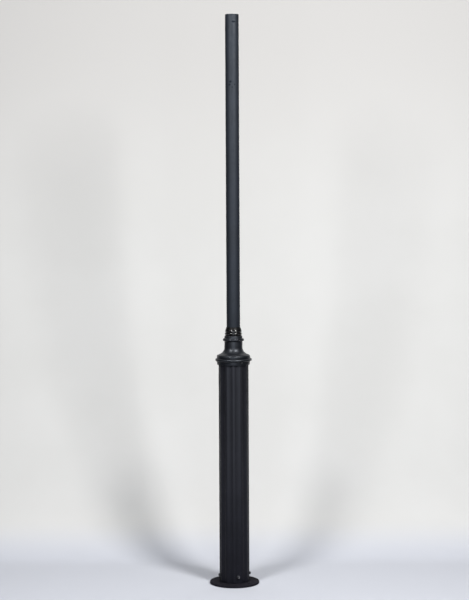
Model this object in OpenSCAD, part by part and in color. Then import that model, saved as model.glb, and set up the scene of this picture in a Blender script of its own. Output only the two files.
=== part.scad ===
// Garden lamp post without its lantern. A fluted lower tube stands on a round cast base, a cast
// reducer caps it, and a plain tube rises from the reducer to take a post-top lantern.
// The origin is the centre of the flange's underside, +Z is up and the front looks along -Y.

/* [Base flange] */
// Diameter of the round flange
flange_d = 220; // [200:1:260]
// Thickness of the flange
flange_t = 9; // [7:0.5:14]
// Rounding of the flange's upper rim
flange_round = 2; // [0.5:0.5:4]
// Height of the spigot above the flange
spigot_h = 55; // [48:1:80]
// Wall of the spigot
spigot_wall = 8; // [6:0.5:10]
// Clearance between the spigot and the bore of the fluted tube
spigot_clear = 0.5; // [0.2:0.1:1]
// Width of the shelf inside the spigot, from the cable opening to the spigot's wall
shelf_w = 16.5; // [15:0.5:25]
// Diameter of the circle that the anchor holes lie on
anchor_pcd = 180; // [170:1:184]
// Number of anchor holes
anchor_count = 4; // [3:1:8]
// Diameter of an anchor hole
anchor_hole_d = 14; // [9:1:16]

/* [Fluted tube] */
// Diameter over the lands between the flutes
fluted_d = 133; // [130:1:140]
// Wall of the fluted tube, at a land
fluted_wall = 6.5; // [5:0.1:8]
// Length of the fluted tube
fluted_len = 1000; // [600:10:1500]
// Number of flutes
flute_count = 12; // [8:4:12]
// Width of a flute between its two lands
flute_w = 25; // [18:0.5:30]
// Depth of a flute below the lands
flute_depth = 3.2; // [1.5:0.1:3.6]
// Radius of the drain notch in the foot of the tube
drain_r = 4; // [2:0.5:6]

/* [Base screws] */
// Height of the base screws above the flange
base_screw_h = 31; // [20:1:38]
// Number of base screws
base_screw_count = 4; // [2:2:4]
// Length of a base screw under its head
base_screw_len = 16; // [16:1:25]

/* [Reducer casting] */
// Depth of the socket over the top of the fluted tube
socket_depth = 27; // [22:1:34]
// Clearance between the socket and the lands of the fluted tube
socket_clear = 0.75; // [0.3:0.05:1.5]
// Wall of the skirt round the socket
skirt_wall = 6.5; // [5:0.5:9]
// Inward taper of the skirt at its foot
skirt_taper = 1.2; // [0:0.1:2]
// Height of the large bead's centre above the skirt's foot
large_bead_h = 21.3; // [21:0.1:26]
// Radius of the large bead's section
large_bead_r = 7; // [4:0.1:7.5]
// Height of the step ring's top above the skirt's foot
ring_h = 44; // [38:0.5:50]
// Rounding of the step ring's upper edge
ring_round = 6; // [2:0.5:8]
// Width of the flat between the step ring's rounding and the flare
ring_flat = 1.8; // [0.5:0.1:4]
// Depth of the narrow grooves beside the beads
quirk_depth = 1.8; // [0.5:0.1:2]
// Width of the narrow grooves beside the beads
quirk_w = 1.8; // [1:0.1:3]
// Length of the plain neck up to the small bead's centre
neck_len = 32.5; // [26:0.5:60]
// Wall of the neck round the upper tube
neck_wall = 10.3; // [8:0.1:13]
// Radius of the small bead's section
small_bead_r = 6.6; // [4:0.1:7]
// Length of the cup above the small bead's centre
cup_len = 17.2; // [12:0.2:30]
// Inward taper of the cup at its top
cup_taper = 1; // [0:0.1:3]
// Rounding of the cup's upper rim
cup_round = 1.6; // [0.5:0.1:2.5]
// Wall of the flare, under its outer curve
shell_wall = 7; // [5:0.5:9]
// Wall of the sleeve that holds the foot of the upper tube
sleeve_wall = 7; // [5:0.5:8]
// Height of the ledge that the upper tube stands on, above the top of the fluted tube
ledge_h = 15; // [8:0.5:20]
// Thickness of the ledge
ledge_t = 4; // [3:0.5:6]
// Diameter of the cable hole through the ledge
ledge_hole_d = 48; // [30:1:52]

/* [Set screws] */
// Height of the lower set screws above the skirt's foot
low_set_h = 13.5; // [12:0.5:17]
// Length of a lower set screw
low_set_len = 8; // [6:1:12]
// Length of an upper set screw
high_set_len = 12; // [8:1:14]
// Turn of the upper set screws from the front
high_set_turn = 36; // [0:1:60]
// Number of set screws in each ring
set_count = 3; // [3:1:4]

/* [Upper tube] */
// Outer diameter of the upper tube, a standard post top
upper_d = 60; // [56:1:64]
// Wall of the upper tube
upper_wall = 3; // [2:0.5:4]
// Length of the upper tube
upper_len = 1500; // [600:10:2000]
// Depth of the turned foot of the upper tube
foot_turn = 0.4; // [0.2:0.1:0.8]
// Clearance between the turned foot and the reducer's bore
foot_clear = 0.15; // [0.1:0.05:0.4]
// Rounding of the tube's top edge
top_round = 1; // [0.5:0.1:1.4]

/* [Rubber seal] */
// Height of the rubber seal
seal_h = 39; // [34:0.5:50]
// Wall of the seal at its foot
seal_wall = 8; // [7:0.1:9.5]
// Wall of the seal's thin top lip
seal_lip = 1.6; // [1:0.1:2.5]
// Radius of the section of each rib on the seal
seal_rib_r = 5.9; // [4.5:0.1:6.3]
// Clearance between the seal and the upper tube
seal_clear = 0.05; // [0.02:0.01:0.2]

/* [Earth terminal] */
// Height of the cast boss that the earth stud is screwed into
boss_h = 5; // [3:0.5:8]
// Length of the earth stud above its boss
stud_out = 22; // [20:1:30]

/* [Hidden] */

// M8 screws, washers and threads
m8_r = 4;
m8_hole_r = 4.5;
m8_head_r = 6.5;
m8_head_h = 8;
m8_washer_r = 8;
m8_washer_t = 1.6;
m8_key = 6;
m8_set_key = 4;
// M6 stud, washers and nuts
m6_r = 3;
m6_washer_r = 6;
m6_washer_t = 1.6;
m6_nut_flats = 10;
m6_nut_h = 5;
// A thread stands this much inside the hole it is screwed into
thread_clear = 0.05;
// Distance by which a cut runs past the face it opens
past = 1;
edge = 0.8;

// Fluted tube
fluted_r = fluted_d / 2;
fluted_bore_r = fluted_r - fluted_wall;
flute_pitch = 360 / flute_count;
flute_floor_r = fluted_r - flute_depth;
flute_edge_r = sqrt(fluted_r * fluted_r - flute_w * flute_w / 4);
flute_axis_r = (fluted_r * fluted_r - flute_floor_r * flute_floor_r)
    / (2 * (flute_edge_r - flute_floor_r));
flute_r = flute_axis_r - flute_floor_r;
fluted_top = flange_t + fluted_len;

// Spigot and base screws, which sit in the middle of a flute
spigot_r = fluted_bore_r - spigot_clear;
spigot_in_r = spigot_r - spigot_wall;
opening_r = spigot_in_r - shelf_w;
base_screw_turn = flute_pitch / 2;
base_screw_z = flange_t + base_screw_h;
washer_seat_r = flute_floor_r + flute_r - sqrt(flute_r * flute_r - m8_washer_r * m8_washer_r);
head_seat_r = washer_seat_r + m8_washer_t;

// Reducer, from the skirt's foot up
skirt_z = fluted_top - socket_depth;
socket_r = fluted_r + socket_clear;
skirt_r = socket_r + skirt_wall;
large_bead_z = skirt_z + large_bead_h;
ring_z = skirt_z + ring_h;
neck_bore_r = upper_d / 2 - foot_turn + foot_clear;
neck_r = neck_bore_r + neck_wall;
flare_r = skirt_r - neck_r;
neck_z = ring_z + flare_r;
small_bead_z = neck_z + neck_len;
cup_z = small_bead_z + cup_len;
cup_r = neck_r + 0.4 - cup_taper;
core_r = fluted_bore_r + spigot_clear;
shell_r = flare_r + shell_wall;
sleeve_r = neck_bore_r + sleeve_wall;
pocket_tip_r = sleeve_r + 3;
seat_z = fluted_top + ledge_h;
pocket_z = neck_z - sqrt(shell_r * shell_r - pow(skirt_r - pocket_tip_r, 2));

// Upper tube and seal
foot_r = upper_d / 2 - foot_turn;
upper_top = seat_z + upper_len;
seal_top = cup_z + seal_h;
turned_top = seal_top + 1;

// The lower set screws sit on a land, one pitch from the front
low_set_turn = flute_pitch;
low_set_z = skirt_z + low_set_h;
low_face_r = 6.2;
low_face_at = skirt_r + 0.4;
high_face_r = 7.5;
high_face_at = neck_r + small_bead_r - 2.6;
tip_clear = 0.05;

// Earth terminal, between the cable opening and the spigot
earth_r = (opening_r + spigot_in_r) / 2;
earth_turn = 165;
boss_r = m6_washer_r + 0.8;
boss_z = flange_t + boss_h;
lug_gap = 3;

$fn = 96;

// Places its children at an angle from the front, counted towards +X
module from_front(turn) {
    rotate([0, 0, turn - 90]) children();
}

// Repeats its children evenly round the post, starting at an angle from the front
module ring_of(count, start) {
    for (i = [0 : count - 1]) from_front(start + i * 360 / count) children();
}

// A cylinder that points outwards along the local X axis, from one radius to another
module spoke(r, from, to, z) {
    translate([from, 0, z]) rotate([0, 90, 0]) cylinder(r = r, h = to - from, $fn = 48);
}

// A hexagonal key socket sunk into the outer end of a screw
module key_socket(flats, depth, end, z) {
    translate([end - depth, 0, z]) rotate([0, 90, 0])
        cylinder(r = flats / sqrt(3), h = depth + past, $fn = 6);
}

// Half section of the flange and its spigot
module base_outline() {
    rim_r = flange_d / 2;
    translate([opening_r, 0]) square([rim_r - opening_r, flange_t - flange_round]);
    translate([opening_r, 0]) square([rim_r - flange_round - opening_r, flange_t]);
    translate([rim_r - flange_round, flange_t - flange_round]) circle(r = flange_round);
    polygon([
        [spigot_in_r, flange_t - past], [spigot_r, flange_t - past],
        [spigot_r, flange_t + spigot_h - 2], [spigot_r - 2, flange_t + spigot_h],
        [spigot_in_r, flange_t + spigot_h]
    ]);
}

module base_flange() {
    color([0.07, 0.07, 0.08])
    difference() {
        union() {
            rotate_extrude($fn = 144) base_outline();
            from_front(earth_turn) translate([earth_r, 0, flange_t - past])
                cylinder(r = boss_r, h = boss_h + past, $fn = 48);
        }
        ring_of(anchor_count, 180 / anchor_count)
            translate([anchor_pcd / 2, 0, -past])
                cylinder(d = anchor_hole_d, h = flange_t + 2 * past, $fn = 48);
        ring_of(base_screw_count, base_screw_turn)
            spoke(m8_r, spigot_in_r - past, spigot_r + past, base_screw_z);
        from_front(earth_turn) translate([earth_r, 0, flange_t / 3])
            cylinder(r = m6_r, h = boss_z, $fn = 48);
    }
}

// Section across the fluted tube, with a land facing the front
module fluted_section() {
    difference() {
        circle(r = fluted_r, $fn = 180);
        ring_of(flute_count, flute_pitch / 2)
            translate([flute_axis_r, 0]) circle(r = flute_r, $fn = 120);
        circle(r = fluted_bore_r, $fn = 144);
    }
}

module fluted_tube() {
    color([0.06, 0.06, 0.07])
    difference() {
        translate([0, 0, flange_t]) linear_extrude(fluted_len) fluted_section();
        ring_of(base_screw_count, base_screw_turn)
            spoke(m8_hole_r, fluted_bore_r - past, fluted_r + past, base_screw_z);
        from_front(0)
            spoke(drain_r, fluted_bore_r - past, fluted_r + past, flange_t);
    }
}

module base_screws() {
    color([0.6, 0.6, 0.62])
    ring_of(base_screw_count, base_screw_turn)
        difference() {
            union() {
                spoke(m8_r - thread_clear, head_seat_r - base_screw_len, head_seat_r + past, base_screw_z);
                spoke(m8_head_r, head_seat_r, head_seat_r + m8_head_h - edge, base_screw_z);
                spoke(m8_head_r - edge, head_seat_r + past, head_seat_r + m8_head_h, base_screw_z);
            }
            key_socket(m8_key, 4, head_seat_r + m8_head_h, base_screw_z);
        }
}

module base_washers() {
    color([0.6, 0.6, 0.62])
    ring_of(base_screw_count, base_screw_turn)
        difference() {
            spoke(m8_washer_r, washer_seat_r, head_seat_r, base_screw_z);
            spoke(m8_hole_r, washer_seat_r - past, head_seat_r + past, base_screw_z);
        }
}

// Outer half section of the reducer, filled to the axis
module reducer_outline() {
    // Skirt, with its foot drawn in and chamfered
    polygon([
        [0, skirt_z], [skirt_r - skirt_taper - edge, skirt_z],
        [skirt_r - skirt_taper, skirt_z + edge], [skirt_r, large_bead_z], [0, large_bead_z]
    ]);
    // Large bead and step ring
    translate([skirt_r + 0.4, large_bead_z]) circle(r = large_bead_r, $fn = 48);
    translate([0, large_bead_z]) square([skirt_r, ring_z - ring_round - large_bead_z]);
    translate([0, large_bead_z]) square([skirt_r - ring_round, ring_z - large_bead_z]);
    translate([skirt_r - ring_round, ring_z - ring_round]) circle(r = ring_round, $fn = 48);
    // Hollow flare from the step ring up to the neck
    difference() {
        translate([0, ring_z - past])
            square([skirt_r - ring_round - ring_flat, flare_r + past]);
        translate([skirt_r, neck_z]) circle(r = flare_r, $fn = 144);
    }
    // Neck, small bead and cup
    translate([0, neck_z - past]) square([neck_r, neck_len + past]);
    translate([neck_r + 0.3, small_bead_z]) circle(r = small_bead_r, $fn = 48);
    polygon([
        [0, small_bead_z], [neck_r + 0.4, small_bead_z],
        [cup_r, cup_z - cup_round], [cup_r - cup_round, cup_z], [0, cup_z]
    ]);
    translate([cup_r - cup_round, cup_z - cup_round]) circle(r = cup_round, $fn = 32);
}

// Half section of what is hollow in the reducer
module reducer_hollow() {
    translate([0, skirt_z - past]) square([socket_r, socket_depth + past]);
    translate([0, fluted_top - past]) square([core_r, seat_z - ledge_t - fluted_top + past]);
    translate([0, fluted_top]) square([ledge_hole_d / 2, cup_z - fluted_top]);
    translate([0, seat_z]) square([neck_bore_r, cup_z - seat_z + past]);
    // Pocket between the sleeve and the flare, which keeps the casting's wall even
    difference() {
        translate([sleeve_r, fluted_top]) square([core_r - sleeve_r, pocket_z - fluted_top]);
        translate([skirt_r, neck_z]) circle(r = shell_r, $fn = 144);
    }
    // Narrow grooves above and below the large bead, and below the small one
    translate([skirt_r - quirk_depth, large_bead_z + large_bead_r - 0.5])
        square([large_bead_r, quirk_w]);
    translate([skirt_r - quirk_depth, large_bead_z - large_bead_r + 0.5 - quirk_w])
        square([large_bead_r, quirk_w]);
    translate([neck_r - quirk_depth, small_bead_z - small_bead_r + 0.5 - quirk_w])
        square([small_bead_r, quirk_w]);
}

module reducer_casting() {
    color([0.09, 0.09, 0.10])
    difference() {
        rotate_extrude($fn = 144) difference() {
            reducer_outline();
            reducer_hollow();
        }
        ring_of(set_count, low_set_turn) {
            spoke(m8_r, socket_r - past, skirt_r + large_bead_r + past, low_set_z);
            spoke(low_face_r, low_face_at, skirt_r + large_bead_r + past, low_set_z);
        }
        ring_of(set_count, high_set_turn) {
            spoke(m8_r, neck_bore_r - past, neck_r + small_bead_r + past, small_bead_z);
            spoke(high_face_r, high_face_at, neck_r + small_bead_r + past, small_bead_z);
        }
    }
}

// Socket set screw with a blunt cone point, its tip towards the post's axis
module set_screw(tip, len, z) {
    r = m8_r - thread_clear;
    difference() {
        translate([tip, 0, z]) rotate([0, 90, 0]) rotate_extrude($fn = 48)
            polygon([[0, 0], [r - 1.6, 0], [r, 1.6], [r, len - edge], [r - edge, len], [0, len]]);
        key_socket(m8_set_key, 4, tip + len, z);
    }
}

module lower_set_screws() {
    color([0.6, 0.6, 0.62])
    ring_of(set_count, low_set_turn) set_screw(fluted_r + tip_clear, low_set_len, low_set_z);
}

module upper_set_screws() {
    color([0.6, 0.6, 0.62])
    ring_of(set_count, high_set_turn) set_screw(foot_r + tip_clear, high_set_len, small_bead_z);
}

// Half section of the seal: a foot, two ribs and a hollow cone up to a thin lip
module seal_outline() {
    in_r = foot_r + seal_clear;
    wall_r = in_r + seal_wall;
    rib_1 = cup_z + seal_rib_r + 3.6;
    rib_2 = rib_1 + 2 * seal_rib_r + 0.4;
    shoulder = rib_2 + seal_rib_r * 0.6;
    translate([in_r, cup_z]) square([seal_wall - 0.9, rib_1 - cup_z]);
    translate([in_r, cup_z]) square([seal_wall - 2.4, rib_2 - cup_z]);
    translate([wall_r - seal_rib_r + 0.7, rib_1]) circle(r = seal_rib_r, $fn = 48);
    translate([wall_r - seal_rib_r - 0.4, rib_2]) circle(r = seal_rib_r, $fn = 48);
    polygon([
        [in_r, rib_1], [wall_r - 2.4, rib_2], [wall_r - 1.8, shoulder],
        [in_r + (seal_wall + seal_lip) / 2 - 1.3, (shoulder + seal_top) / 2],
        [in_r + seal_lip, seal_top - 2], [in_r + seal_lip - 0.5, seal_top], [in_r, seal_top]
    ]);
}

module rubber_seal() {
    color([0.02, 0.02, 0.02])
    rotate_extrude($fn = 96) difference() {
        seal_outline();
        translate([0, cup_z - past]) square([foot_r + seal_clear, seal_h + 2 * past]);
    }
}

// Half section of the upper tube, with its foot turned down and its top edge rounded
module upper_outline() {
    out_r = upper_d / 2;
    in_r = out_r - upper_wall;
    translate([in_r, seat_z]) square([foot_r - in_r, upper_len - top_round]);
    translate([in_r, turned_top]) square([upper_wall, upper_top - top_round - turned_top]);
    translate([in_r, seat_z]) square([upper_wall - top_round, upper_len]);
    translate([out_r - top_round, upper_top - top_round]) circle(r = top_round, $fn = 32);
}

module upper_tube() {
    color([0.12, 0.12, 0.13])
    rotate_extrude($fn = 96) upper_outline();
}

// Places its children on the axis of the earth stud, at a height above its boss
module on_stud(h) {
    from_front(earth_turn) translate([earth_r, 0, boss_z + h]) children();
}

module earth_stud() {
    color([0.75, 0.62, 0.3])
    on_stud(0) {
        translate([0, 0, flange_t / 3 - boss_z])
            cylinder(r = m6_r - thread_clear, h = boss_z - flange_t / 3 + stud_out - edge, $fn = 48);
        cylinder(r = m6_r - thread_clear - edge, h = stud_out, $fn = 48);
    }
}

module earth_washers() {
    color([0.75, 0.62, 0.3])
    for (h = [0, m6_washer_t + m6_nut_h + lug_gap])
        on_stud(h) difference() {
            cylinder(r = m6_washer_r, h = m6_washer_t, $fn = 48);
            translate([0, 0, -past]) cylinder(r = m6_r + 0.2, h = m6_washer_t + 2 * past, $fn = 48);
        }
}

module earth_nuts() {
    color([0.75, 0.62, 0.3])
    for (h = [m6_washer_t, 2 * m6_washer_t + m6_nut_h + lug_gap])
        on_stud(h) difference() {
            cylinder(r = m6_nut_flats / sqrt(3), h = m6_nut_h, $fn = 6);
            translate([0, 0, -past]) cylinder(r = m6_r, h = m6_nut_h + 2 * past, $fn = 48);
        }
}

base_flange();
fluted_tube();
base_screws();
base_washers();
reducer_casting();
lower_set_screws();
upper_set_screws();
rubber_seal();
upper_tube();
earth_stud();
earth_washers();
earth_nuts();
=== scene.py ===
import math

import bmesh
import bpy
import numpy as np
from mathutils import Matrix, Vector


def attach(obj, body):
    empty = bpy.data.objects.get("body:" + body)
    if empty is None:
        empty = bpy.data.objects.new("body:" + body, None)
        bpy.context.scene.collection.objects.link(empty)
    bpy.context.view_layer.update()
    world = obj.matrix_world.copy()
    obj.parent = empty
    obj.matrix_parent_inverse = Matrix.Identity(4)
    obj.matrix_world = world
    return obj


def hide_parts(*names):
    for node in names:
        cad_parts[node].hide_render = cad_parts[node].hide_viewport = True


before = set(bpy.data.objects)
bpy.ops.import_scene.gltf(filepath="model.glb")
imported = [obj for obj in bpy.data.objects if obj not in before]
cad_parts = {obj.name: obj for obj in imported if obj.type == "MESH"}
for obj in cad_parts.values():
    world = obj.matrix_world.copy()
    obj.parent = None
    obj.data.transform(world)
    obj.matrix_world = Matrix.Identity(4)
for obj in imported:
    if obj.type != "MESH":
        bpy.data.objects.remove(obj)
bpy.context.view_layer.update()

# The base flange is one aluminium casting, turned on its rim and upper face. Its spigot goes up
# inside the fluted tube, four anchor bolts hold it down, and the cable comes up through the middle.
# It is powder-coated satin black, and its upper face keeps some dust from the ground.
MM = 0.001
FLANGE_R = 109.97
FLANGE_T = 9
OPENING_R = 35
SPIGOT_R = 59.5
SPIGOT_IN_R = 51.5
SPIGOT_TOP = 64
SPIGOT_LEAD_IN = 2
ANCHOR_CIRCLE_R = 90
ANCHOR_R = 7
ANCHOR_TURNS = (45, 135, 225, 315)
ANCHOR_CHAMFER = 0.6
THREAD_HOLE_R = 4
SCREW_TURNS = (15, 105, 195, 285)
BASE_SCREW_Z = 40
EARTH_R = 43.25
EARTH_TURN = 165
EARTH_HOLE_R = 3
EARTH_HOLE_FLOOR = 3
BOSS_R = 6.8
BOSS_TOP = 14
# A drill runs at least this far past the faces it opens
PAST = 1


def rounded(corners, steps=5):
    """Outline through corners of (x, z, radius), with an arc of that radius in each corner."""
    outline = []
    for i, (x, z, r) in enumerate(corners):
        here = Vector((x, z))
        to_last = Vector(corners[i - 1][:2]) - here
        to_next = Vector(corners[(i + 1) % len(corners)][:2]) - here
        if r == 0:
            outline.append((x, z))
            continue
        half = to_last.angle(to_next) / 2
        reach = min(r / math.tan(half), 0.49 * to_last.length, 0.49 * to_next.length)
        a, b = here + to_last.normalized() * reach, here + to_next.normalized() * reach
        for k in range(steps + 1):
            t = k / steps
            # A quadratic curve from a to b is close enough to an arc at this size
            p = a * (1 - t) ** 2 + here * 2 * t * (1 - t) + b * t ** 2
            outline.append((p.x, p.y))
    return outline


def arc(x, z, r, start, end, steps):
    """Corners on an arc round (x, z), its angles in degrees from +x towards +z."""
    angles = [math.radians(start + (end - start) * k / steps) for k in range(steps + 1)]
    return [(x + r * math.cos(a), z + r * math.sin(a), 0) for a in angles]


def spun(outline, sides):
    """Points and faces of a closed outline of (radius, height) in mm, spun about the Z axis.
    A radius may be a function of the angle, for hexagons, knurls and threads."""
    angle = np.arange(sides) * 2 * math.pi / sides
    rings = []
    for r, z in outline:
        radius = r(angle) if callable(r) else np.full(sides, float(r))
        rings.append(np.stack([radius * np.sin(angle), -radius * np.cos(angle),
                               np.full(sides, float(z))], 1))
    points = np.concatenate(rings) * MM
    count = len(outline)
    faces = []
    for i in range(count):
        for k in range(sides):
            a, b = i * sides + k, i * sides + (k + 1) % sides
            c, d = (i + 1) % count * sides + (k + 1) % sides, (i + 1) % count * sides + k
            faces.append((a, b, c, d))
    return points, faces


def piece_from(name, points, faces, place=None):
    """A mesh piece with its place in its points, shaded smooth apart from its arrises."""
    mesh = bpy.data.meshes.new(name)
    mesh.from_pydata([tuple(p) for p in points], [], faces)
    if place is not None:
        mesh.transform(place)
    mesh.update()
    made = bpy.data.objects.new(name, mesh)
    bpy.context.scene.collection.objects.link(made)
    tidy_mesh(made)
    return made


def tidy_mesh(made, merge=1e-6):
    """Merges double points, turns every face outwards and marks the arrises."""
    work = bmesh.new()
    work.from_mesh(made.data)
    bmesh.ops.remove_doubles(work, verts=work.verts, dist=merge)
    bmesh.ops.dissolve_degenerate(work, edges=work.edges, dist=merge / 2)
    bmesh.ops.recalc_face_normals(work, faces=work.faces)
    work.to_mesh(made.data)
    work.free()
    made.data.shade_smooth()
    made.data.set_sharp_from_angle(angle=math.radians(32))


def from_front(turn):
    """Turns the front of the post, -Y, round to an angle towards +X."""
    return Matrix.Rotation(math.radians(turn), 4, "Z")


def spoke(turn, radius, height):
    """Stands a piece's own Z axis on the post, pointing outwards at that angle and height."""
    lay = Matrix.Rotation(math.radians(90), 4, "X")
    return from_front(turn) @ Matrix.Translation((0, -radius * MM, height * MM)) @ lay


def cut(made, name, cutters, boss=None):
    """Adds a boss to a piece, cuts the holes out of it and deletes the cutters."""
    if boss is not None:
        step = made.modifiers.new("boss", "BOOLEAN")
        step.operation, step.solver, step.object = "UNION", "EXACT", boss
    for cutter in cutters:
        step = made.modifiers.new("hole", "BOOLEAN")
        step.operation, step.solver, step.object = "DIFFERENCE", "EXACT", cutter
    cut_mesh = bpy.data.meshes.new_from_object(
        made.evaluated_get(bpy.context.evaluated_depsgraph_get()))
    made.modifiers.clear()
    made.data = cut_mesh
    made.data.name = name
    for used in [*cutters, *([boss] if boss is not None else [])]:
        bpy.data.objects.remove(used)
    tidy_mesh(made)


def drill(name, outline, place, sides=48):
    """A drill of that outline, whose ends are closed on its axis."""
    points, faces = spun([(0, outline[0][1]), *outline, (0, outline[-1][1])], sides)
    return piece_from(name, points, faces[:-sides], place)


flange_corners = [
    (OPENING_R, 0, 0.6), (FLANGE_R, 0, 0.8), (FLANGE_R, FLANGE_T, 2),
    (SPIGOT_R, FLANGE_T, 0), (SPIGOT_R, SPIGOT_TOP - SPIGOT_LEAD_IN, 0.5),
    (SPIGOT_R - SPIGOT_LEAD_IN, SPIGOT_TOP, 0.5),
    (SPIGOT_IN_R, SPIGOT_TOP, 0.6), (SPIGOT_IN_R, FLANGE_T, 0), (OPENING_R, FLANGE_T, 0.6),
]
base_flange = piece_from("base_casting", *spun(rounded(flange_corners), 256))
flange_holes = [
    drill("anchor_hole", [(ANCHOR_R + ANCHOR_CHAMFER + PAST, -PAST), (ANCHOR_R, ANCHOR_CHAMFER),
                          (ANCHOR_R, FLANGE_T - ANCHOR_CHAMFER),
                          (ANCHOR_R + ANCHOR_CHAMFER + PAST, FLANGE_T + PAST)],
          from_front(turn) @ Matrix.Translation((0, -ANCHOR_CIRCLE_R * MM, 0)))
    for turn in ANCHOR_TURNS
]
flange_holes += [
    drill("screw_thread_hole", [(THREAD_HOLE_R, SPIGOT_IN_R - 2 * PAST), (THREAD_HOLE_R, SPIGOT_R - 0.5),
                                (THREAD_HOLE_R + 0.5 + PAST, SPIGOT_R + PAST)],
          spoke(turn, 0, BASE_SCREW_Z)) for turn in SCREW_TURNS
]
at_earth = from_front(EARTH_TURN) @ Matrix.Translation((0, -EARTH_R * MM, 0))
flange_holes.append(drill("stud_hole", [(EARTH_HOLE_R, EARTH_HOLE_FLOOR), (EARTH_HOLE_R, BOSS_TOP - 0.5),
                                        (EARTH_HOLE_R + 1, BOSS_TOP + 0.5)], at_earth))
earth_boss = drill("earth_boss", [(BOSS_R, FLANGE_T - 2), (BOSS_R, BOSS_TOP - 0.5),
                                  (BOSS_R - 0.5, BOSS_TOP)], at_earth)
cut(base_flange, "base_casting", flange_holes, earth_boss)


def finish_nodes(name):
    """A new material with its node tree, its shader and a coordinate in metres."""
    finish = bpy.data.materials.new(name)
    finish.use_nodes = True
    tree = finish.node_tree
    shader = tree.nodes["Principled BSDF"]
    place = tree.nodes.new("ShaderNodeTexCoord").outputs["Object"]
    return finish, tree, shader, place


def speckle(tree, place, grain, detail, stretch=(1, 1, 1)):
    """Noise whose grains are about that many metres across, stretched along an axis."""
    spread = tree.nodes.new("ShaderNodeMapping")
    spread.inputs["Scale"].default_value = stretch
    tree.links.new(place, spread.inputs["Vector"])
    noise = tree.nodes.new("ShaderNodeTexNoise")
    noise.inputs["Scale"].default_value = 1 / grain
    noise.inputs["Detail"].default_value = detail
    tree.links.new(spread.outputs[0], noise.inputs["Vector"])
    return noise.outputs["Fac"]


def between(tree, value, low, high, to_low=0.0, to_high=1.0):
    """Maps a value from one span to another and holds it there."""
    node = tree.nodes.new("ShaderNodeMapRange")
    node.interpolation_type = "SMOOTHSTEP"
    tree.links.new(value, node.inputs["Value"])
    for socket, number in zip(("From Min", "From Max", "To Min", "To Max"),
                              (low, high, to_low, to_high)):
        node.inputs[socket].default_value = number
    return node.outputs["Result"]


def times(tree, a, b):
    """The product of two values, each a number or another node's output."""
    node = tree.nodes.new("ShaderNodeMath")
    node.operation = "MULTIPLY"
    for socket, value in zip(node.inputs, (a, b)):
        if isinstance(value, float):
            socket.default_value = value
        else:
            tree.links.new(value, socket)
    return node.outputs[0]


def blended(tree, share, a, b):
    """A colour between a and b, each a colour or another node's output."""
    node = tree.nodes.new("ShaderNodeMix")
    node.data_type = "RGBA"
    tree.links.new(share, node.inputs["Factor"])
    for index, value in ((6, a), (7, b)):
        if isinstance(value, tuple):
            node.inputs[index].default_value = (*value, 1)
        else:
            tree.links.new(value, node.inputs[index])
    return node.outputs[2]


def bumped(tree, shader, height, depth, strength):
    """Gives a surface low relief, that many metres deep."""
    node = tree.nodes.new("ShaderNodeBump")
    node.inputs["Distance"].default_value = depth
    node.inputs["Strength"].default_value = strength
    tree.links.new(height, node.inputs["Height"])
    tree.links.new(node.outputs[0], shader.inputs["Normal"])


DRY_DUST = (0.17, 0.165, 0.155)
SPLASHED_SOIL = (0.12, 0.115, 0.105)
SPLASH_HEIGHT = 0.16
COOL_SHINE = (0.85, 0.91, 1.0)
MOTTLE_GRAIN = 0.09
PATCH_GRAIN = 0.011
PEEL_DEPTH = 0.00008


def powder_coat(name, colour, rough, grain, dust, dust_top, shine=0.4):
    """Satin black powder coat: orange peel, faint mottling, and dust near the ground."""
    finish, tree, shader, place = finish_nodes(name)
    mottle = speckle(tree, place, MOTTLE_GRAIN, 3)
    fine = speckle(tree, place, PATCH_GRAIN, 4)
    light = tuple(1.22 * c for c in colour)
    dark = tuple(0.82 * c for c in colour)
    coat = blended(tree, between(tree, mottle, 0.3, 0.7), dark, light)
    # Dust on what faces up, and rain splash that fades with height
    facing = tree.nodes.new("ShaderNodeNewGeometry").outputs["Normal"]
    split = tree.nodes.new("ShaderNodeSeparateXYZ")
    tree.links.new(facing, split.inputs[0])
    height = tree.nodes.new("ShaderNodeSeparateXYZ")
    tree.links.new(place, height.inputs[0])
    patches = between(tree, fine, 0.35, 0.75)
    lying = times(tree, times(tree, between(tree, split.outputs[2], 0.55, 0.95), patches), dust_top)
    near_ground = between(tree, height.outputs[2], SPLASH_HEIGHT, 0.0)
    splash = times(tree, times(tree, near_ground, patches), dust)
    dusty = blended(tree, lying, coat, DRY_DUST)
    dusty = blended(tree, splash, dusty, SPLASHED_SOIL)
    tree.links.new(dusty, shader.inputs["Base Color"])
    tree.links.new(between(tree, fine, 0.3, 0.7, rough - 0.04, rough + 0.05),
                   shader.inputs["Roughness"])
    shader.inputs["Specular IOR Level"].default_value = shine
    shader.inputs["Specular Tint"].default_value = (*COOL_SHINE, 1)
    bumped(tree, shader, speckle(tree, place, grain, 1.5), PEEL_DEPTH, 0.4)
    return finish


FLANGE_BLACK = (0.011, 0.0102, 0.0145)
base_flange.data.materials.append(powder_coat(
    "matte_powder_coat", FLANGE_BLACK, rough=0.9, grain=0.002, dust=0.02, dust_top=0.05, shine=0.05))
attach(base_flange, "root")
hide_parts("base_flange")

# The fluted tube is an aluminium extrusion with twelve shallow flutes, sawn to one metre. It stands
# on the flange round the spigot. It is drilled for four screws, has a drain notch in its foot, and
# is powder-coated in satin black.
FLUTED_R = 66.5
FLUTED_BORE_R = 60
FLUTE_COUNT = 12
FLUTE_W = 25
FLUTE_DEPTH = 3.2
FLUTED_TOP = 1009
ARRIS_R = 0.9
DRAIN_R = 4
CLEAR_HOLE_R = 4.5
CLEAR_HOLE_CHAMFER = 0.8
FLUTED_BLACK = (0.0052, 0.005, 0.008)
FLUTED_SHINE = 0.45
# The shine near the ground, and the height it fades up to, are painted shade on the tube's foot
FOOT_SHADE_SHINE = 0.17
FOOT_SHADE_UP_TO = 0.62


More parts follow.
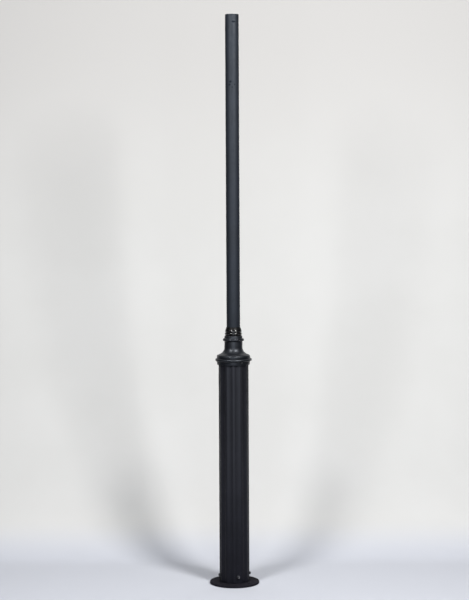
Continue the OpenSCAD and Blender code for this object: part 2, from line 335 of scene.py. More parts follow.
def fluted_outline():
    """Radius of the tube's outside against the angle, with soft arrises beside the flutes."""
    floor_r = FLUTED_R - FLUTE_DEPTH
    edge_r = math.sqrt(FLUTED_R ** 2 - FLUTE_W ** 2 / 4)
    axis_r = (FLUTED_R ** 2 - floor_r ** 2) / (2 * (edge_r - floor_r))
    flute_r = axis_r - floor_r
    pitch = 2 * math.pi / FLUTE_COUNT
    half_flute = math.asin(FLUTE_W / 2 / FLUTED_R)
    angles, radii = [], []
    for flute in range(FLUTE_COUNT):
        middle = (flute + 0.5) * pitch
        inside = np.linspace(-1, 1, 33)
        soft = half_flute * np.sign(inside) * np.abs(inside) ** 0.8
        land = np.linspace(half_flute, pitch - half_flute, 13)[1:-1]
        for a in list(soft) + list(land):
            if abs(a) <= half_flute:
                across = axis_r * math.cos(a)
                r = across - math.sqrt(max(0, flute_r ** 2 - (axis_r * math.sin(a)) ** 2))
            else:
                r = FLUTED_R
            angles.append(middle + a)
            radii.append(r)
    angles, radii = np.array(angles), np.array(radii)
    # The arris is rounded by averaging the outline over a short way along it
    reach = ARRIS_R / FLUTED_R
    around = np.concatenate([angles - 2 * math.pi, angles, angles + 2 * math.pi])
    known = np.tile(radii, 3)
    soft_radii = np.zeros_like(radii)
    for offset, weight in zip(np.linspace(-reach, reach, 7), (1, 2, 3, 4, 3, 2, 1)):
        soft_radii += weight / 16 * np.interp(angles + offset, around, known)
    return angles, np.minimum(soft_radii, FLUTED_R)


def fluted_mesh():
    """Points and faces of the fluted tube, with a fine bevel at each of its sawn ends."""
    angles, outside = fluted_outline()
    count = len(angles)
    ring = lambda r, z: np.stack([r * np.sin(angles), -r * np.cos(angles),
                                  np.full(count, float(z))], 1)
    edge = 0.5
    foot, top = FLANGE_T, FLUTED_TOP
    inside = np.full(count, float(FLUTED_BORE_R))
    levels = [(outside - edge, foot), (outside, foot + edge)]
    levels += [(outside, z) for z in np.linspace(foot, top, 21)[1:-1]]
    levels += [(outside, top - edge), (outside - edge, top), (inside + edge, top),
               (inside, top - edge), (inside, foot + edge), (inside + edge, foot)]
    points = np.concatenate([ring(r, z) for r, z in levels]) * MM
    faces = []
    for i in range(len(levels)):
        for k in range(count):
            j, m = (i + 1) % len(levels), (k + 1) % count
            faces.append((i * count + k, i * count + m, j * count + m, j * count + k))
    return points, faces


fluted_tube = piece_from("fluted_extrusion", *fluted_mesh())
tube_holes = [
    drill("screw_hole", [(CLEAR_HOLE_R, FLUTED_BORE_R - PAST),
                         (CLEAR_HOLE_R, FLUTED_R - FLUTE_DEPTH - CLEAR_HOLE_CHAMFER / 2),
                         (CLEAR_HOLE_R + CLEAR_HOLE_CHAMFER,
                          FLUTED_R - FLUTE_DEPTH + CLEAR_HOLE_CHAMFER / 2),
                         (CLEAR_HOLE_R + CLEAR_HOLE_CHAMFER, FLUTED_R + PAST)],
          spoke(turn, 0, BASE_SCREW_Z)) for turn in SCREW_TURNS
]
tube_holes.append(drill("drain", [(DRAIN_R, FLUTED_BORE_R - 2 * PAST), (DRAIN_R, FLUTED_R + 2 * PAST)],
                        spoke(0, 0, FLANGE_T)))
cut(fluted_tube, "fluted_extrusion", tube_holes)
fluted_coat = powder_coat("fluted_powder_coat", FLUTED_BLACK, rough=0.55, grain=0.0015, dust=0.0,
                          dust_top=0.02, shine=FLUTED_SHINE)
# Painted shade: the coat's shine fades towards the ground, so that the foot reads darker where less
# light reaches it
foot_shade_tree = fluted_coat.node_tree
foot_shade_height = foot_shade_tree.nodes.new("ShaderNodeSeparateXYZ")
foot_shade_tree.links.new(foot_shade_tree.nodes.new("ShaderNodeTexCoord").outputs["Object"],
                      foot_shade_height.inputs[0])
foot_shade_tree.links.new(between(foot_shade_tree, foot_shade_height.outputs[2], 0.0, FOOT_SHADE_UP_TO,
                              FOOT_SHADE_SHINE, FLUTED_SHINE),
                      foot_shade_tree.nodes["Principled BSDF"].inputs["Specular IOR Level"])
fluted_tube.data.materials.append(fluted_coat)
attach(fluted_tube, "root")
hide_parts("fluted_tube")

# Four M8 cap screws with plain washers hold the fluted tube on the spigot. Each stands in the
# middle of a flute. They are steel with a black coat, worn bright at the rim of the hexagon
# socket. Their heads are knurled and their threads are rolled.
WASHER_SEAT = 64.36
WASHER_R = 8
WASHER_T = 1.6
HEAD_R = 6.5
HEAD_H = 8
SCREW_LEN = 16
THREAD_R = 3.95
THREAD_PITCH = 1.25
THREAD_DEPTH = 0.65
KNURL_TEETH = 44
KNURL_DEPTH = 0.22
KEY_FLATS = 6
KEY_DEPTH = 4
STEEL_BLACK = (0.012, 0.012, 0.014)
WORN_STEEL = (0.42, 0.42, 0.43)
STEEL_FILM = (0.06, 0.06, 0.06)
FILM_GRAIN = 0.0035
SCRATCH_GRAIN = 0.0012
TOOL_MARK_GRAIN = 0.0004
TOOL_MARK_DEPTH = 0.00003


def hexagon(flats):
    """Radius of a hexagon of that width across its flats, against the angle."""
    return lambda a: flats / 2 / np.cos((a + math.pi / 6) % (math.pi / 3) - math.pi / 6)


def knurled(r):
    """Radius of a straight-knurled head, against the angle."""
    return lambda a: r - KNURL_DEPTH * (0.5 + 0.5 * np.cos(KNURL_TEETH * a))


def thread_outline(r, pitch, depth, start, end, steps_a_turn=6):
    """Stations up a screw thread: the crest winds round as the height grows."""
    stations = []
    for i in range(int((end - start) / pitch * steps_a_turn) + 1):
        z = start + i * pitch / steps_a_turn
        stations.append((lambda a, z=z: r - depth * np.abs(
            ((z / pitch - a / (2 * math.pi)) % 1) * 2 - 1), z))
    return stations


def closed_screw(name, body, sides, worn, place):
    """A screw whose ends close on its axis, and whose worn rings take the second finish."""
    points, faces = spun(body, sides)
    made = piece_from(name, points, faces[:-sides], place)
    # The rim's faces are found again by their height, since merging points may drop faces
    low, high = (body[i][1] for i in (max(worn) + 1, min(worn)))
    back = place.inverted()
    for face in made.data.polygons:
        height = (back @ face.center).z / MM
        across = (back @ face.center).xy.length / MM
        if low - 0.01 < height < high + 0.01 and across < body[min(worn)][0]:
            face.material_index = 1
    return made


def cap_screw(name, place):
    """An M8 cap screw, from its tip up to its head and down into the key socket."""
    body = [(0, -SCREW_LEN), (THREAD_R - 0.9, -SCREW_LEN)]
    body += thread_outline(THREAD_R, THREAD_PITCH, THREAD_DEPTH, -SCREW_LEN + 0.8, -2)
    body += [(THREAD_R - 0.3, -1.5), (THREAD_R - 0.3, -0.05), (HEAD_R - 0.5, 0)]
    body += [(knurled(HEAD_R), 0.5), (knurled(HEAD_R), HEAD_H - 1.3), (HEAD_R - 0.3, HEAD_H - 0.9)]
    body += [(HEAD_R - 0.8, HEAD_H - 0.2), (HEAD_R - 1.2, HEAD_H), (KEY_FLATS / 2 + 1.3, HEAD_H)]
    worn = range(len(body) - 1, len(body) + 1)
    body += [(KEY_FLATS / 2 + 0.75, HEAD_H - 0.05), (hexagon(KEY_FLATS), HEAD_H - 0.6)]
    body += [(hexagon(KEY_FLATS), HEAD_H - KEY_DEPTH), (KEY_FLATS / 2 - 0.6, HEAD_H - KEY_DEPTH - 0.1),
             (0, HEAD_H - KEY_DEPTH - 0.9)]
    return closed_screw(name, body, 3 * KNURL_TEETH, worn, place)


def washer(name, r, hole_r, t, place):
    """A punched washer, whose upper edge is rounder than its lower one."""
    corners = [(hole_r, 0, 0.1), (r, 0, 0.15), (r, t, 0.45), (hole_r, t, 0.2)]
    return piece_from(name, *spun(rounded(corners, 4), 96), place)


def joined(name, parts):
    """Makes one piece of several, in the order given."""
    points, faces, finishes = [], [], []
    for part in parts:
        first = len(points)
        points += [tuple(v.co) for v in part.data.vertices]
        faces += [tuple(first + v for v in f.vertices) for f in part.data.polygons]
        finishes += [f.material_index for f in part.data.polygons]
        bpy.data.objects.remove(part)
    made = piece_from(name, points, faces)
    made.data.polygons.foreach_set("material_index", finishes)
    return made


base_screws = joined("base_cap_screws", [
    cap_screw("screw", spoke(turn, WASHER_SEAT + WASHER_T, BASE_SCREW_Z))
    for turn in SCREW_TURNS])
base_washers = joined("base_plain_washers", [
    washer("washer", WASHER_R, CLEAR_HOLE_R, WASHER_T, spoke(turn, WASHER_SEAT, BASE_SCREW_Z))
    for turn in SCREW_TURNS])


def bare_metal(name, colour, rough, tarnish, tarnish_share):
    """Bare turned metal, with tool marks, fine scratches and a dull film in patches."""
    finish, tree, shader, place = finish_nodes(name)
    film = between(tree, speckle(tree, place, FILM_GRAIN, 4), 0.42, 0.72)
    shade = blended(tree, times(tree, film, tarnish_share), colour, tarnish)
    tree.links.new(shade, shader.inputs["Base Color"])
    shader.inputs["Metallic"].default_value = 1.0
    scratches = speckle(tree, place, SCRATCH_GRAIN, 3)
    tree.links.new(between(tree, scratches, 0.3, 0.7, rough, rough + 0.14), shader.inputs["Roughness"])
    bumped(tree, shader, speckle(tree, place, TOOL_MARK_GRAIN, 2, (1, 1, 6)), TOOL_MARK_DEPTH, 0.4)
    return finish


black_steel = powder_coat("black_steel_coat", STEEL_BLACK, rough=0.42, grain=0.0007, dust=0.02,
                          dust_top=0.0)
worn_steel = bare_metal("worn_steel", WORN_STEEL, rough=0.3, tarnish=STEEL_FILM, tarnish_share=0.7)
for made, node in ((base_screws, "base_screws"), (base_washers, "base_washers")):
    made.data.materials.append(black_steel)
    made.data.materials.append(worn_steel)
    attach(made, "root")
    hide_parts(node)

# The earth terminal inside the spigot is a brass M6 stud, screwed into a boss in the casting. Two
# nuts and two washers on it clamp the lug of the earth wire.
STUD_OUT = 22
M6_R = 3
M6_PITCH = 1
M6_NUT_FLATS = 10
M6_NUT_H = 5
M6_WASHER_R = 6
STUD_SUNK = 11
STUD_SIDES = 48
LUG_GAP = 3
BRASS_YELLOW = (0.62, 0.45, 0.20)
BRASS_TARNISH = (0.22, 0.15, 0.08)


def on_stud(h):
    """Stands a piece on the stud's axis, that far above the boss."""
    return from_front(EARTH_TURN) @ Matrix.Translation((0, -EARTH_R * MM, (BOSS_TOP + h) * MM))


def nut(name, place):
    """An M6 nut, bevelled at the corners of both faces and at both ends of its thread."""
    flats = hexagon(M6_NUT_FLATS)
    bevelled = lambda a: np.minimum(flats(a), M6_NUT_FLATS / 2 + 0.1)
    body = [(M6_R + 0.5, 0), (bevelled, 0), (flats, 0.6), (flats, M6_NUT_H - 0.6)]
    body += [(bevelled, M6_NUT_H), (M6_R + 0.5, M6_NUT_H), (M6_R, M6_NUT_H - 0.5), (M6_R, 0.5)]
    return piece_from(name, *spun(body, 96), place)


stud_body = [(0, -STUD_SUNK), (M6_R - 0.8, -STUD_SUNK)]
stud_body += thread_outline(M6_R - 0.05, M6_PITCH, 0.55, -STUD_SUNK + 0.6, STUD_OUT - 0.7)
stud_body += [(M6_R - 0.9, STUD_OUT), (0, STUD_OUT)]
stud_points, stud_faces = spun(stud_body, STUD_SIDES)
earth_stud = piece_from("earth_stud_m6", stud_points, stud_faces[:-STUD_SIDES], on_stud(0))
earth_washers = joined("earth_plain_washers", [
    washer("washer", M6_WASHER_R, M6_R + 0.2, WASHER_T, on_stud(h))
    for h in (0, WASHER_T + M6_NUT_H + LUG_GAP)])
earth_nuts = joined("earth_hex_nuts", [
    nut("nut", on_stud(h)) for h in (WASHER_T, 2 * WASHER_T + M6_NUT_H + LUG_GAP)])
brass = bare_metal("brass", BRASS_YELLOW, rough=0.3, tarnish=BRASS_TARNISH, tarnish_share=0.7)
for made, node in ((earth_stud, "earth_stud"), (earth_washers, "earth_washers"),
                   (earth_nuts, "earth_nuts")):
    made.data.materials.append(brass)
    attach(made, "root")
    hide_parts(node)

# The reducer is an aluminium casting, turned outside and bored for the upper tube. Its skirt caps
# the fluted tube, and it rises through a large bead, a step ring and a hollow flare to a neck, a
# small bead and a cup. Three set screws go through the skirt and three through the small bead.
SKIRT_Z = 982
SKIRT_R = 73.75
SKIRT_TAPER = 1.2
SOCKET_R = 67.25
LARGE_BEAD_Z = 1003.3
LARGE_BEAD_R = 7
LARGE_BEAD_AT = 74.15
RING_Z = 1026
RING_ROUND = 7.8
RING_FLAT = 1
QUIRK_DEPTH = 1.8
QUIRK_W = 1.8
NECK_BORE_R = 29.75
NECK_R = 40.05
FLARE_R = 33.7
NECK_Z = 1059.7
SMALL_BEAD_Z = 1092.2
SMALL_BEAD_R = 6.6
SMALL_BEAD_AT = 40.35
CUP_Z = 1109.4
CUP_R = 39.45
CUP_ROUND = 1.6
CORE_R = 60.5
SHELL_R = 40.7
SLEEVE_R = 36.75
SEAT_Z = 1024
LEDGE_Z = 1020
LEDGE_HOLE_R = 24
POCKET_FOOT_Z = 1021
CORE_TOP = 1019.9
LOW_SET_Z = 995.5
LOW_SET_TURNS = (30, 150, 270)
HIGH_SET_TURNS = (36, 156, 276)
LOW_FACE_R = 6.2
LOW_FACE_AT = 74.15
HIGH_FACE_R = 7.5
HIGH_FACE_AT = 44.05
CAST_BLACK = (0.006, 0.0068, 0.009)


def quirk(wall_r, foot, top):
    """A narrow groove in the casting's outside, walked upwards."""
    return [(wall_r, foot, 0.2), (wall_r - QUIRK_DEPTH, foot, 0.15),
            (wall_r - QUIRK_DEPTH, top, 0.15)]


def reducer_corners():
    """The casting's outline, up its outside and back down its bore, pocket and socket."""
    foot = LARGE_BEAD_Z - LARGE_BEAD_R + 0.5
    outside = [(SOCKET_R, SKIRT_Z, 0.4), (SKIRT_R - SKIRT_TAPER, SKIRT_Z, 0.9)]
    outside += quirk(SKIRT_R - 0.5, foot - QUIRK_W, foot)
    outside += arc(LARGE_BEAD_AT, LARGE_BEAD_Z, LARGE_BEAD_R, -68, 68, 28)
    top = LARGE_BEAD_Z + LARGE_BEAD_R - 0.5
    outside += [(SKIRT_R - QUIRK_DEPTH, top, 0.15), (SKIRT_R - QUIRK_DEPTH, top + QUIRK_W, 0.15),
                (SKIRT_R, top + QUIRK_W, 0.2)]
    outside += arc(SKIRT_R - RING_ROUND, RING_Z - RING_ROUND, RING_ROUND, 0, 90, 14)
    flat_r = SKIRT_R - RING_ROUND - RING_FLAT
    foot_angle = math.degrees(math.acos((SKIRT_R - flat_r) / FLARE_R))
    outside += [(flat_r, RING_Z, 0.4)]
    outside += arc(SKIRT_R, NECK_Z, FLARE_R, 180 + foot_angle, 180, 40)
    foot = SMALL_BEAD_Z - SMALL_BEAD_R + 0.5
    outside += quirk(NECK_R, foot - QUIRK_W, foot)
    outside += arc(SMALL_BEAD_AT, SMALL_BEAD_Z, SMALL_BEAD_R, -67, 82, 28)
    outside += [(NECK_R + 0.3, SMALL_BEAD_Z + SMALL_BEAD_R, 0.4), (CUP_R, CUP_Z, CUP_ROUND),
                (NECK_BORE_R, CUP_Z, 0.5)]
    pocket_in = math.sqrt(SHELL_R ** 2 - (SKIRT_R - SLEEVE_R) ** 2)
    inside = [
        (NECK_BORE_R, SEAT_Z, 0), (LEDGE_HOLE_R, SEAT_Z, 0.4), (LEDGE_HOLE_R, LEDGE_Z, 0.4),
        (SLEEVE_R, LEDGE_Z, 0.5), (SLEEVE_R, NECK_Z - pocket_in - 1, 1.5),
    ]
    start = math.degrees(math.acos((SKIRT_R - SLEEVE_R - 3) / SHELL_R))
    end = math.degrees(math.asin(min(1, (NECK_Z - POCKET_FOOT_Z) / SHELL_R)))
    inside += arc(SKIRT_R, NECK_Z, SHELL_R, 180 + start, 180 + end, 16)
    inside += [(CORE_R, CORE_TOP, 0.8), (CORE_R, FLUTED_TOP, 0), (SOCKET_R, FLUTED_TOP, 0.5)]
    return outside + inside


reducer = piece_from("reducer_turned_casting", *spun(rounded(reducer_corners(), 4), 256))
reducer_holes = []
for turns, z, wall_r, face_r, face_at in (
        (LOW_SET_TURNS, LOW_SET_Z, SOCKET_R - PAST, LOW_FACE_R, LOW_FACE_AT),
        (HIGH_SET_TURNS, SMALL_BEAD_Z, NECK_BORE_R - PAST, HIGH_FACE_R, HIGH_FACE_AT)):
    shape = [(THREAD_HOLE_R, wall_r), (THREAD_HOLE_R, face_at - 0.7), (THREAD_HOLE_R + 0.7, face_at),
             (face_r - 0.3, face_at), (face_r, face_at + 0.3), (face_r, face_at + 12)]
    reducer_holes += [drill("set_screw_hole", shape, spoke(turn, 0, z)) for turn in turns]
cut(reducer, "reducer_turned_casting", reducer_holes)
reducer.data.materials.append(powder_coat(
    "cast_powder_coat", CAST_BLACK, rough=0.4, grain=0.0018, dust=0.0, dust_top=0.03, shine=0.5))
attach(reducer, "root")
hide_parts("reducer_casting")

# Six M8 set screws of steel with a black coat. Three bear on the lands of the fluted tube, and
# three longer ones, sunk in the small bead, clamp the foot of the upper tube. Each has a cone
# point and a hexagon socket, whose rim is worn bright.
LOW_SET_TIP = 66.55
LOW_SET_LEN = 8
HIGH_SET_TIP = 29.65
HIGH_SET_LEN = 12
SET_KEY_FLATS = 4


def set_screw(name, length, place):
    """An M8 set screw, from its cone point up to its end and down into the key socket."""
    body = [(0, 0), (THREAD_R - 1.6, 0), (THREAD_R - 0.7, 1.0)]
    body += thread_outline(THREAD_R, THREAD_PITCH, THREAD_DEPTH, 1.4, length - 0.9)
    body += [(THREAD_R - 0.9, length - 0.1), (THREAD_R - 1.1, length)]
    worn = range(len(body) - 1, len(body) + 1)
    body += [(SET_KEY_FLATS / 2 + 0.5, length - 0.05), (hexagon(SET_KEY_FLATS), length - 0.4)]
    body += [(hexagon(SET_KEY_FLATS), length - 3.8), (0, length - 4)]
    return closed_screw(name, body, 96, worn, place)


for name, node, turns, tip, length, z in (
        ("lower_grub_screws", "lower_set_screws", LOW_SET_TURNS, LOW_SET_TIP, LOW_SET_LEN, LOW_SET_Z),
        ("upper_grub_screws", "upper_set_screws", HIGH_SET_TURNS, HIGH_SET_TIP, HIGH_SET_LEN,
         SMALL_BEAD_Z)):
    made = joined(name, [set_screw("set_screw", length, spoke(turn, tip, z)) for turn in turns])
    made.data.materials.append(black_steel)
    made.data.materials.append(worn_steel)
    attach(made, "root")
    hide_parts(node)

# The seal is a moulded ring of glossy black rubber, pushed down round the foot of the upper tube on
# to the casting's cup. It has two ribs and a hollow cone that ends in a thin lip, so that rain runs
# off past the joint.
SEAL_IN_R = 29.65
SEAL_WALL = 8
SEAL_LIP = 1.6
SEAL_RIB_R = 5.9
SEAL_FOOT_H = 3.6
SEAL_FOOT_INSET = 0.9
SEAL_RIB_GAP = 0.4
SEAL_LOW_RIB_OUT = 0.7
SEAL_HIGH_RIB_IN = 0.4
SEAL_GROOVE_DEPTH = 2.4
SEAL_GROOVE_W = 1.6
SEAL_CONE_HOLLOW = 1.3
SEAL_TOP = 1148.4
SEAL_SHINE_TOP = 1136.6
RUBBER_BLACK = (0.002, 0.002, 0.0025)
RUBBER_GREY = (0.004, 0.004, 0.0045)
SMEAR_GRAIN = 0.02
MOULD_GRAIN = 0.006
MOULD_DEPTH = 0.00008


def seal_corners():
    """The seal's outline, up its ribs and cone and back down its bore."""
    wall_r = SEAL_IN_R + SEAL_WALL
    rib_1 = CUP_Z + SEAL_FOOT_H + SEAL_RIB_R
    rib_2 = rib_1 + 2 * SEAL_RIB_R + SEAL_RIB_GAP
    shoulder = rib_2 + SEAL_RIB_R * 0.6
    groove = (rib_1 + rib_2) / 2
    foot_wall_r = wall_r - SEAL_FOOT_INSET
    groove_r = wall_r - SEAL_GROOVE_DEPTH
    corners = [(SEAL_IN_R, CUP_Z, 0.3), (foot_wall_r, CUP_Z, 0.6), (foot_wall_r, rib_1 - 4.2, 0.8)]
    corners += arc(wall_r - SEAL_RIB_R + SEAL_LOW_RIB_OUT, rib_1, SEAL_RIB_R, -38, 56, 20)
    corners += [(groove_r, groove - SEAL_GROOVE_W / 2, 0.4), (groove_r, groove + SEAL_GROOVE_W / 2, 0.4)]
    corners += arc(wall_r - SEAL_RIB_R - SEAL_HIGH_RIB_IN, rib_2, SEAL_RIB_R, -48, 36, 20)
    foot_r, foot_z = corners[-1][:2]
    middle_r = SEAL_IN_R + (SEAL_WALL + SEAL_LIP) / 2 - SEAL_CONE_HOLLOW
    middle_z = (shoulder + SEAL_TOP) / 2
    up = (SEAL_SHINE_TOP - foot_z) / (middle_z - foot_z)
    corners += [(foot_r + (middle_r - foot_r) * up, SEAL_SHINE_TOP, 0), (middle_r, middle_z, 3),
                (SEAL_IN_R + SEAL_LIP, SEAL_TOP - 2, 0.8),
                (SEAL_IN_R + SEAL_LIP - 0.5, SEAL_TOP, 0.3), (SEAL_IN_R, SEAL_TOP, 0.3)]
    return corners


seal = piece_from("moulded_seal", *spun(rounded(seal_corners(), 6), 192))


def moulded_rubber(name, rough, shine):
    """Black rubber with the faint smears of handling."""
    rubber, tree, shader, place = finish_nodes(name)
    smear = speckle(tree, place, SMEAR_GRAIN, 4)
    tree.links.new(blended(tree, between(tree, smear, 0.35, 0.7), RUBBER_BLACK, RUBBER_GREY),
                   shader.inputs["Base Color"])
    tree.links.new(between(tree, smear, 0.35, 0.7, rough - 0.04, rough + 0.04),
                   shader.inputs["Roughness"])
    shader.inputs["Specular IOR Level"].default_value = shine
    bumped(tree, shader, speckle(tree, place, MOULD_GRAIN, 2), MOULD_DEPTH, 0.25)
    return rubber


# The ribs are shiny, and the cone is duller where rain runs over it
seal.data.materials.append(moulded_rubber("shiny_rubber", rough=0.17, shine=0.75))
seal.data.materials.append(moulded_rubber("dull_rubber", rough=0.5, shine=0.12))
for face in seal.data.polygons:
    face.material_index = 1 if face.center.z > (SEAL_SHINE_TOP - 0.3) * MM else 0
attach(seal, "root")
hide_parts("rubber_seal")

# The upper tube is a plain drawn aluminium tube, 60 mm outside, whose open top takes the lantern.
# Its foot is turned down to fit the reducer's bore, and its top edge is rounded. It is
# powder-coated in satin black and has a few scuffs near the top.
UPPER_R = 30
UPPER_IN_R = 27
FOOT_R = 29.6
TURNED_TOP = 1149.4
UPPER_TOP = 2524
TUBE_BLACK = (0.0055, 0.008, 0.0130)
TUBE_SHINE = 0.49
SCUFFED_SHINE = 0.1
# Small scuffs on the front, each given by its place across, its height and its half sizes
SCUFFS = ((-8, 2229, 6, 5), (-11, 2216, 5, 5), (0, 2205, 3, 3), (11, 2216, 2.5, 4), (7, 2490, 9, 4.5))
SCUFF_REACH_IN = 20

upper_corners = [(UPPER_IN_R, SEAT_Z, 0.4), (FOOT_R, SEAT_Z, 0.4), (FOOT_R, TURNED_TOP, 0),
                 (UPPER_R, TURNED_TOP, 0.15)]
upper_corners += [(UPPER_R, z, 0) for z in np.linspace(1250, 2450, 13)]
upper_corners += [(UPPER_R, UPPER_TOP, 1), (UPPER_IN_R, UPPER_TOP, 0.7)]
upper_tube = piece_from("upper_drawn_tube", *spun(rounded(upper_corners), 192))
upper_coat = powder_coat("upper_powder_coat", TUBE_BLACK, rough=0.6, grain=0.0015, dust=0.0,
                         dust_top=0.05, shine=TUBE_SHINE)
upper_tube.data.materials.append(upper_coat)
scuff_tree = upper_coat.node_tree
scuff_place = scuff_tree.nodes.new("ShaderNodeTexCoord").outputs["Object"]
scuff_shader = scuff_tree.nodes["Principled BSDF"]
scuffed = None
for across, z, half_w, half_h in SCUFFS:
    depth = math.sqrt(UPPER_R ** 2 - across ** 2)
    offset = scuff_tree.nodes.new("ShaderNodeVectorMath")
    offset.operation = "SUBTRACT"
    scuff_tree.links.new(scuff_place, offset.inputs[0])
    offset.inputs[1].default_value = (across * MM, -depth * MM, z * MM)
    scaled = scuff_tree.nodes.new("ShaderNodeVectorMath")
    scaled.operation = "DIVIDE"
    scuff_tree.links.new(offset.outputs[0], scaled.inputs[0])
    scaled.inputs[1].default_value = (half_w * MM, SCUFF_REACH_IN * MM, half_h * MM)
    away = scuff_tree.nodes.new("ShaderNodeVectorMath")
    away.operation = "LENGTH"
    scuff_tree.links.new(scaled.outputs[0], away.inputs[0])
    kept = between(scuff_tree, away.outputs["Value"], 0.75, 1.1)
    scuffed = kept if scuffed is None else times(scuff_tree, scuffed, kept)
scuff_tree.links.new(between(scuff_tree, scuffed, 0.0, 1.0, SCUFFED_SHINE, TUBE_SHINE),
                     scuff_shader.inputs["Specular IOR Level"])
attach(upper_tube, "root")
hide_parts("upper_tube")

# The floor and the backdrop are one sweep of pale paper, 2.72 m wide. It lies flat under the post,
# curves up behind it and leans back a little as it rises.
PAPER_HALF_W = 1.36
PAPER_FRONT = -0.45
PAPER_STRIPS = 8
# The paper lies this far below the flange's underside, so that the two don't share a face
PAPER_DROP = 0.0004
BLUISH_FLOOR = (0.575, 0.595, 0.65)
PALE_WALL = (0.618, 0.618, 0.606)
PALER_WALL = (0.64, 0.64, 0.63)
# The wall's colour towards its top is painted shade, darker where less light falls
WALL_TOP_SHADE = (0.56, 0.553, 0.543)
BLUISH_UP_TO = 0.16
WALL_SHADE_FROM, WALL_SHADE_FULL = 1.3, 2.7
# Knots of the paper's bend seen from the side, as (distance behind the post, height) in metres
PAPER_KNOTS = ((0.41, 0.0), (0.51, 0.012), (0.60, 0.06), (0.70, 0.165), (0.79, 0.33), (0.87, 0.52),
               (0.96, 0.74), (1.04, 0.99), (1.12, 1.35), (1.17, 1.80), (1.21, 2.25), (1.28, 3.4))


def paper_line():
    """The paper seen from the side, with the knots smoothed into one curve."""
    knots = np.array(PAPER_KNOTS)
    along = np.concatenate([[0], np.cumsum(np.hypot(*np.diff(knots, axis=0).T))])
    steps = np.linspace(0, along[-1], 61)
    y, z = (np.interp(steps, along, knots[:, i]) for i in (0, 1))
    for _ in range(3):
        y[1:-1], z[1:-1] = ((v[:-2] + 2 * v[1:-1] + v[2:]) / 4 for v in (y, z))
    flat = [(d, 0.0) for d in np.linspace(PAPER_FRONT, PAPER_KNOTS[0][0], 12)[:-1]]
    return flat + list(zip(y, z))


line = paper_line()
row = PAPER_STRIPS + 1
paper_points = [(x, y, z - PAPER_DROP) for y, z in line
                for x in np.linspace(-PAPER_HALF_W, PAPER_HALF_W, row)]
paper_faces = [(row * i + k, row * i + k + 1, row * (i + 1) + k + 1, row * (i + 1) + k)
               for i in range(len(line) - 1) for k in range(PAPER_STRIPS)]
paper = piece_from("paper_sweep", paper_points, paper_faces)
paper_finish, paper_tree, paper_shader, paper_place = finish_nodes("pale_paper")
paper_height = paper_tree.nodes.new("ShaderNodeSeparateXYZ")
paper_tree.links.new(paper_place, paper_height.inputs[0])
cloudy = between(paper_tree, speckle(paper_tree, paper_place, 0.5, 3), 0.3, 0.7)
wall_shade = blended(paper_tree, cloudy, PALE_WALL, PALER_WALL)
# Painted shade: the wall darkens towards its top
wall_shade = blended(paper_tree, between(paper_tree, paper_height.outputs[2], WALL_SHADE_FROM, WALL_SHADE_FULL),
                     wall_shade, WALL_TOP_SHADE)
paper_tree.links.new(blended(paper_tree, between(paper_tree, paper_height.outputs[2], 0.0, BLUISH_UP_TO),
                             BLUISH_FLOOR, wall_shade), paper_shader.inputs["Base Color"])
paper_shader.inputs["Roughness"].default_value = 0.9
paper_shader.inputs["Specular IOR Level"].default_value = 0.1
# From behind, the paper lets the view through to the post
seen_from = paper_tree.nodes.new("ShaderNodeNewGeometry").outputs["Backfacing"]
looked_at = paper_tree.nodes.new("ShaderNodeLightPath").outputs["Is Camera Ray"]
see_through = paper_tree.nodes.new("ShaderNodeMixShader")
paper_tree.links.new(times(paper_tree, between(paper_tree, seen_from, 1.0, 0.0), looked_at),
                     see_through.inputs[0])
paper_tree.links.new(paper_shader.outputs[0], see_through.inputs[1])
paper_tree.links.new(paper_tree.nodes.new("ShaderNodeBsdfTransparent").outputs[0],
                     see_through.inputs[2])
paper_output = next(n for n in paper_tree.nodes if n.type == "OUTPUT_MATERIAL")
paper_tree.links.new(see_through.outputs[0], paper_output.inputs["Surface"])
paper.data.materials.append(paper_finish)

# Round the paper is the studio's own floor, of concrete under a worn grey paint. It lies just under
# the paper, and the camera in front doesn't see it.
FLOOR_HALF_W = 9
FLOOR_Z = -0.003
DARK_PAINT = (0.075, 0.075, 0.078)
WORN_PAINT = (0.095, 0.095, 0.098)

studio_floor = piece_from(
    "studio_floor",
    [(x * FLOOR_HALF_W, y * FLOOR_HALF_W, FLOOR_Z) for x, y in ((-1, -1), (1, -1), (1, 1), (-1, 1))],
    [(0, 1, 2, 3)])
floor_finish, floor_tree, floor_shader, floor_place = finish_nodes("grey_floor_paint")
floor_worn = between(floor_tree, speckle(floor_tree, floor_place, 0.3, 5), 0.3, 0.7)
floor_tree.links.new(blended(floor_tree, floor_worn, DARK_PAINT, WORN_PAINT),
                     floor_shader.inputs["Base Color"])
floor_shader.inputs["Roughness"].default_value = 0.7
studio_floor.data.materials.append(floor_finish)

# Two soft lamps stand high in front of the post, the stronger one to its right. A wide bluish
# screen glows in front of it and a weak panel above, and the room itself is dim.
# Each soft lamp's side, its turn from the front in degrees and its power in watts
SOFT_LAMPS = (("right", 35, 166), ("left", -33.5, 108))
LAMP_DISTANCE = 3.2
LAMP_HEIGHT = 3.55
LAMP_SIZE = 1.02
LAMP_AIM = (0, 0.3, 0.6)
LAMP_WHITE = (1.0, 0.99, 0.98)
PANEL_AT = (0, -1.0, 4.6)
PANEL_SIZE = 2.6
PANEL_POWER = 6
FILL_AT = (0, -5.2, 1.65)
FILL_AIM = (0, 0, 1.0)
FILL_SIZE = (3.2, 1.8)
FILL_POWER = 76
FILL_BLUE = (0.88, 0.93, 1.0)
ROOM_BLUE = (0.93, 0.95, 1.0)
ROOM_LIGHT = 0.04


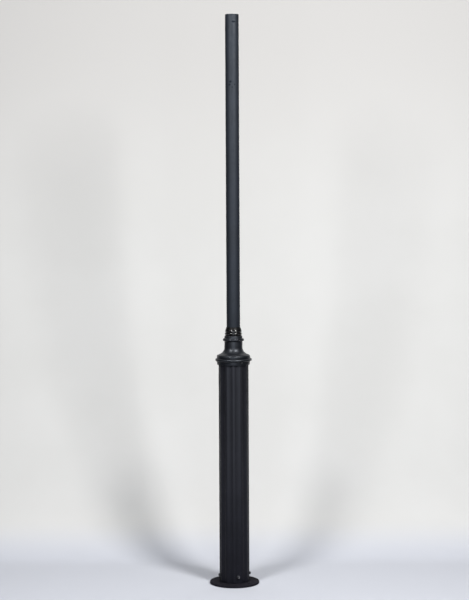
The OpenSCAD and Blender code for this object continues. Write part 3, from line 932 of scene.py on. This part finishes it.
def area_lamp(name, shape, power, size, at, aim=None, colour=(1.0, 1.0, 1.0)):
    """A lamp of one or two sizes, turned towards the point it is aimed at, or straight down."""
    lamp_data = bpy.data.lights.new(name, "AREA")
    lamp_data.shape, lamp_data.energy, lamp_data.color = shape, power, colour
    lamp_data.size = size[0]
    lamp_data.size_y = size[-1]
    lamp = bpy.data.objects.new(name, lamp_data)
    bpy.context.scene.collection.objects.link(lamp)
    lamp.location = at
    if aim is not None:
        lamp.rotation_euler = (Vector(aim) - lamp.location).to_track_quat("-Z", "Y").to_euler()
    lamp.visible_camera = False


for side, turn, power in SOFT_LAMPS:
    area_lamp("soft_lamp_" + side, "DISK", power, (LAMP_SIZE,),
              from_front(turn) @ Vector((0, -LAMP_DISTANCE, LAMP_HEIGHT)), LAMP_AIM, LAMP_WHITE)
area_lamp("ceiling_panel", "SQUARE", PANEL_POWER, (PANEL_SIZE,), PANEL_AT)
area_lamp("front_fill", "RECTANGLE", FILL_POWER, FILL_SIZE, FILL_AT, FILL_AIM, FILL_BLUE)

room = bpy.data.worlds.new("dim_room")
bpy.context.scene.world = room
room.use_nodes = True
room.node_tree.nodes["Background"].inputs["Color"].default_value = (*ROOM_BLUE, 1)
room.node_tree.nodes["Background"].inputs["Strength"].default_value = ROOM_LIGHT
bpy.context.scene.view_settings.view_transform = "Standard"

# The camera stands seven metres in front of the post, a little above its middle, and looks
# slightly down at it through a long lens.
CAMERA_AT = (0.0086, -7.036, 1.6724)
CAMERA_LENS = 95.33
CAMERA_TURN = 0.023
CAMERA_DIP = 3.287
CAMERA_ROLL = -0.282

camera_data = bpy.data.cameras.new("camera")
camera_data.lens = CAMERA_LENS
camera = bpy.data.objects.new("camera", camera_data)
bpy.context.scene.collection.objects.link(camera)
camera.matrix_world = (
    Matrix.Translation(CAMERA_AT)
    @ Matrix.Rotation(math.radians(CAMERA_TURN), 4, "Z")
    @ Matrix.Rotation(math.radians(90 - CAMERA_DIP), 4, "X")
    @ Matrix.Rotation(math.radians(CAMERA_ROLL), 4, "Z")
)
bpy.context.scene.camera = camera
